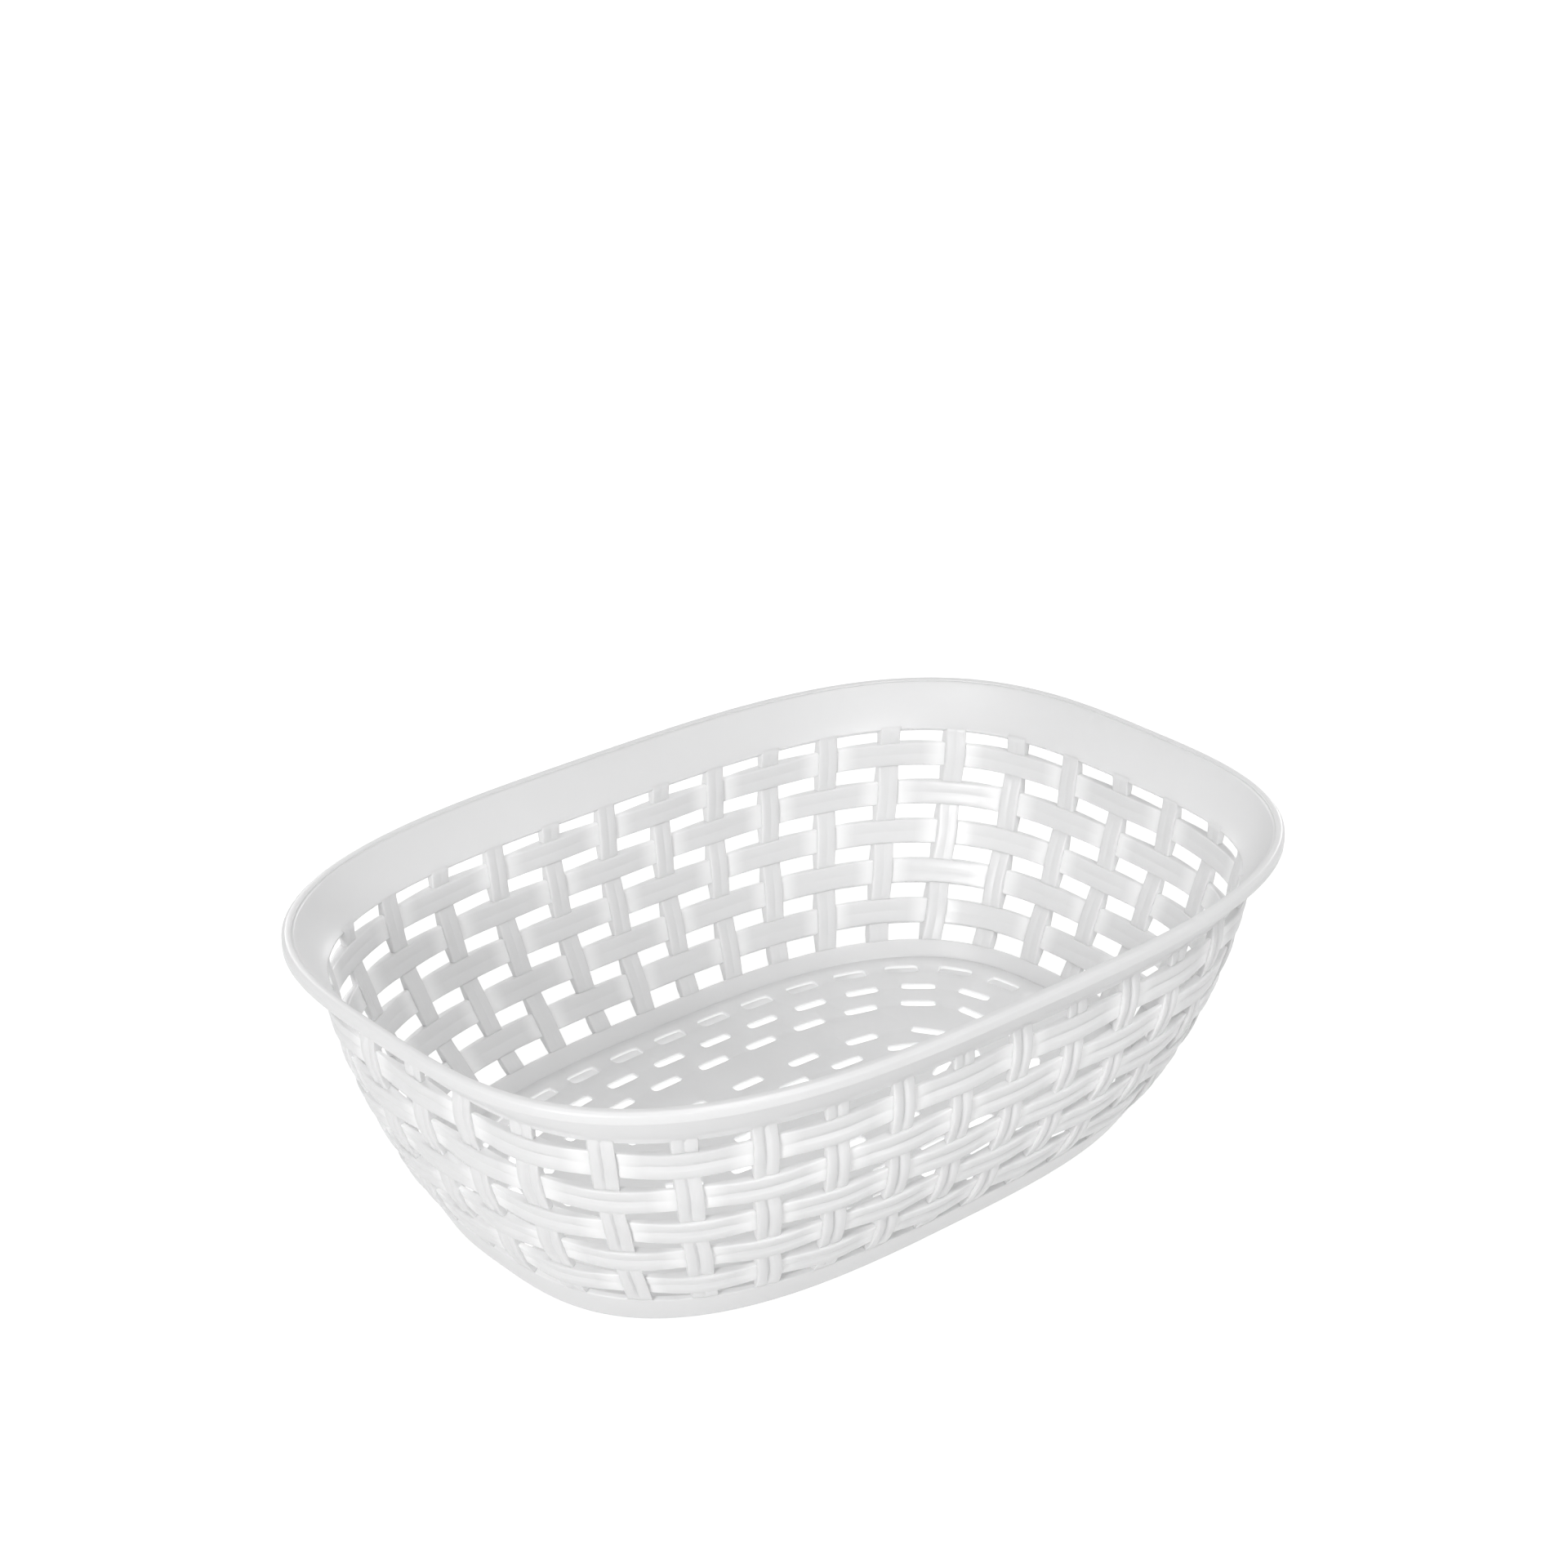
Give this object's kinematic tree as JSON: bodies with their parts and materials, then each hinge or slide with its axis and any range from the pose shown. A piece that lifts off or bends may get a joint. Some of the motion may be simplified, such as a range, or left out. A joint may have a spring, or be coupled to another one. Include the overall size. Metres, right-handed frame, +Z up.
{
  "type": "plastic basket",
  "caption": "Shallow oblong storage basket with an openwork moulded weave, a flared rolled rim and a flat slotted floor.",
  "frame": {"origin": "middle of the foot, on the plane it stands on", "axes": "+X along the basket's length, +Y across it, +Z up out of the mouth"},
  "size_m": [0.279, 0.1924, 0.0846],
  "materials": {
    "white_plastic": "smooth moulded white plastic, half gloss"
  },
  "bodies": {
    "root": {"rim_lip": "white_plastic", "rim_collar": "white_plastic", "weaver_1": "white_plastic", "weaver_2": "white_plastic", "weaver_3": "white_plastic", "weaver_4": "white_plastic", "weaver_5": "white_plastic", "upright_01": "white_plastic", "upright_02": "white_plastic", "upright_03": "white_plastic", "upright_04": "white_plastic", "upright_05": "white_plastic", "upright_06": "white_plastic", "upright_07": "white_plastic", "upright_08": "white_plastic", "upright_09": "white_plastic", "upright_10": "white_plastic", "upright_11": "white_plastic", "upright_12": "white_plastic", "upright_13": "white_plastic", "upright_14": "white_plastic", "upright_15": "white_plastic", "upright_16": "white_plastic", "upright_17": "white_plastic", "upright_18": "white_plastic", "upright_19": "white_plastic", "upright_20": "white_plastic", "upright_21": "white_plastic", "upright_22": "white_plastic", "upright_23": "white_plastic", "upright_24": "white_plastic", "upright_25": "white_plastic", "upright_26": "white_plastic", "upright_27": "white_plastic", "upright_28": "white_plastic", "upright_29": "white_plastic", "upright_30": "white_plastic", "upright_31": "white_plastic", "upright_32": "white_plastic", "upright_33": "white_plastic", "upright_34": "white_plastic", "upright_35": "white_plastic", "upright_36": "white_plastic", "foot_band": "white_plastic", "floor_panel": "white_plastic"}
  },
  "joints": []
}
